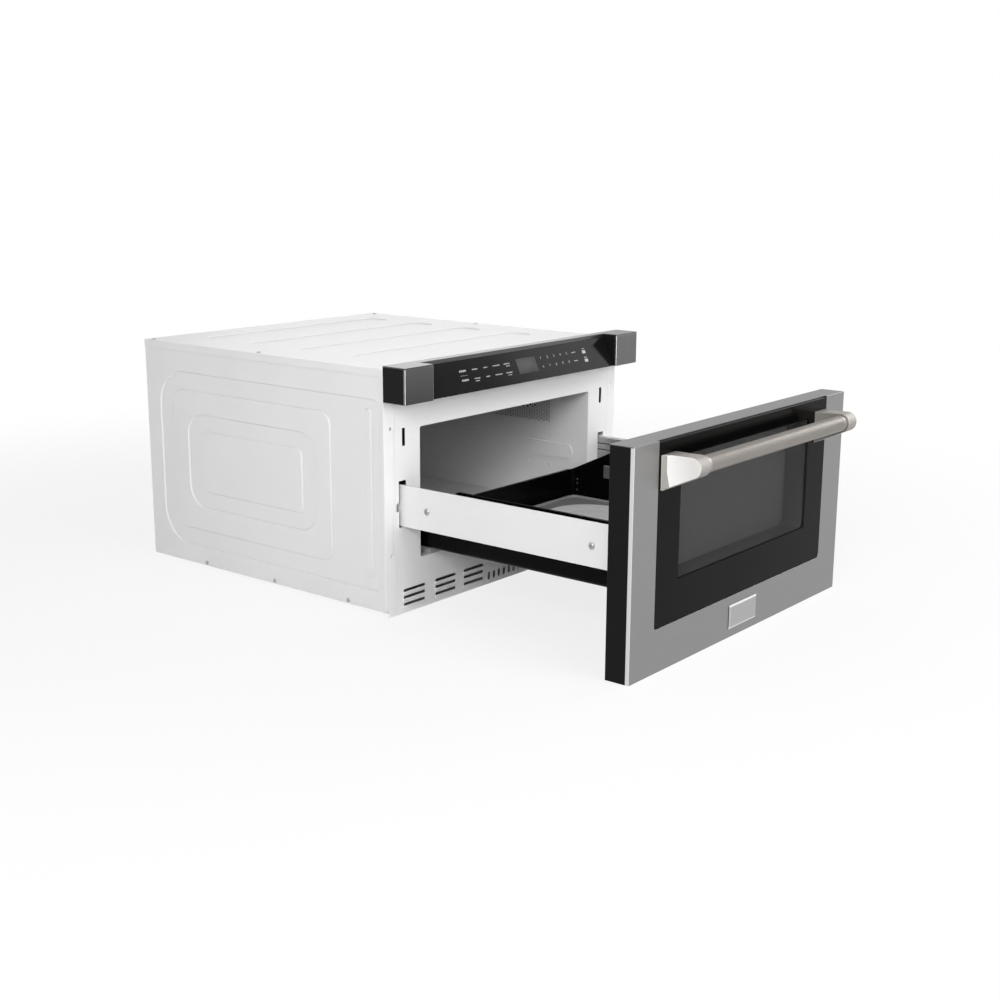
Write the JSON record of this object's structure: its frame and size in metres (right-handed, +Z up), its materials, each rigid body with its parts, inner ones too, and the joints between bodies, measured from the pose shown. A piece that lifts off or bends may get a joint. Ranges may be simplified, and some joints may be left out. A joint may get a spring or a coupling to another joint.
{
  "type": "microwave drawer",
  "caption": "Built-in microwave oven drawer, open: pressed steel case with an oven cavity, slanted control panel, tub with a tray on side rails, glass-fronted steel door and bar handle.",
  "frame": {"origin": "middle of the case, on the underside of its base plate", "axes": "+X to the right as the cook faces the oven, +Y back into the cabinet, +Z up"},
  "size_m": [0.606, 1.0891, 0.3925],
  "materials": {
    "case_paint": "satin",
    "zinc_steel": "satin",
    "cavity_paint": "semi-gloss",
    "rail_paint": "semi-gloss",
    "tub_enamel": "semi-gloss",
    "tray_glass": "clear",
    "black_plastic": "fine texture",
    "panel_glass": "gloss",
    "brushed_trim": "brushed along its length",
    "door_glass": "gloss, smoked",
    "handle_satin": "satin",
    "bar_steel": "fine knurl",
    "screw_steel": "satin",
    "white_plastic": "satin",
    "pale_sheet": "satin",
    "works_steel": "satin",
    "works_aluminium": "satin",
    "core_iron": "lacquered",
    "board_green": "satin",
    "inner_enamel": "semi-gloss"
  },
  "bodies": {
    "case": {"base_plate": "zinc_steel", "left_side_panel": "case_paint", "right_side_panel": "case_paint", "top_panel": "case_paint", "back_panel": "zinc_steel", "front_frame": "case_paint", "left_mounting_flange": "case_paint", "right_mounting_flange": "case_paint", "case_screws": "screw_steel", "cavity_left_wall": "cavity_paint", "cavity_right_wall": "cavity_paint", "cavity_ceiling": "cavity_paint", "cavity_floor": "cavity_paint", "cavity_back_wall": "cavity_paint", "waveguide": "works_steel", "stirrer_cover": "pale_sheet", "stirrer_motor": "works_steel", "magnetron": "works_aluminium", "power_transformer": "core_iron", "hv_capacitor": "works_aluminium", "fan_shroud": "works_steel", "fan_motor": "core_iron", "cavity_lamp": "works_steel", "control_housing": "black_plastic", "control_glass": "panel_glass", "left_end_trim": "brushed_trim", "right_end_trim": "brushed_trim", "top_trim": "brushed_trim", "control_board": "board_green", "interlock_switches": "white_plastic", "slide_brackets": "zinc_steel", "left_slide_outer": "zinc_steel", "right_slide_outer": "zinc_steel", "drive_motor": "works_steel"},
    "stirrer": {"stirrer": "works_aluminium"},
    "fan_rotor": {"fan_rotor": "black_plastic"},
    "left_plunger": {"left_plunger": "black_plastic"},
    "right_plunger": {"right_plunger": "black_plastic"},
    "drive_pinion": {"drive_pinion": "white_plastic"},
    "slide_middles": {"left_slide_middle": "zinc_steel", "right_slide_middle": "zinc_steel"},
    "drawer": {"left_side_rail": "rail_paint", "right_side_rail": "rail_paint", "left_slide_inner": "zinc_steel", "right_slide_inner": "zinc_steel", "drive_rack": "white_plastic", "tub": "tub_enamel", "tub_glides": "white_plastic", "glass_tray": "tray_glass", "door_frame": "black_plastic", "door_inner_panel": "inner_enamel", "door_skin": "brushed_trim", "door_glass": "door_glass", "door_top_cap": "brushed_trim", "badge_plate": "brushed_trim", "handle_bar": "bar_steel", "left_handle_bracket": "handle_satin", "right_handle_bracket": "handle_satin", "latch_hooks": "zinc_steel", "rail_screws": "screw_steel"}
  },
  "joints": [
    {"name": "drawer_slide", "type": "slide", "parent": "case", "child": "drawer", "axis": [0, -1, 0], "range_m": [-0.403, 0]},
    {"name": "middle_slide", "type": "slide", "parent": "case", "child": "slide_middles", "axis": [0, -1, 0], "range_m": [-0.2015, 0]},
    {"name": "pinion_spin", "type": "hinge", "parent": "case", "child": "drive_pinion", "pos_m": [-0.259, -0.2615, 0.1305], "axis": [1, 0, 0], "continuous": true},
    {"name": "stirrer_spin", "type": "hinge", "parent": "case", "child": "stirrer", "pos_m": [0, -0.0665, 0.3032], "axis": [0, 0, 1], "continuous": true},
    {"name": "fan_spin", "type": "hinge", "parent": "case", "child": "fan_rotor", "pos_m": [0.15, 0.2205, 0.09], "axis": [0, 1, 0], "continuous": true},
    {"name": "left_plunger_slide", "type": "slide", "parent": "case", "child": "left_plunger", "axis": [0, 1, 0], "range_m": [0, 0.004], "stiffness_N_per_m": 100, "springref_m": -0.004},
    {"name": "right_plunger_slide", "type": "slide", "parent": "case", "child": "right_plunger", "axis": [0, 1, 0], "range_m": [0, 0.004], "stiffness_N_per_m": 100, "springref_m": -0.004}
  ],
  "couplings": [
    {"joint": "middle_slide", "follows": "drawer_slide", "ratio": 0.5},
    {"joint": "pinion_spin", "follows": "drawer_slide", "rad_per_m": 83.333}
  ]
}
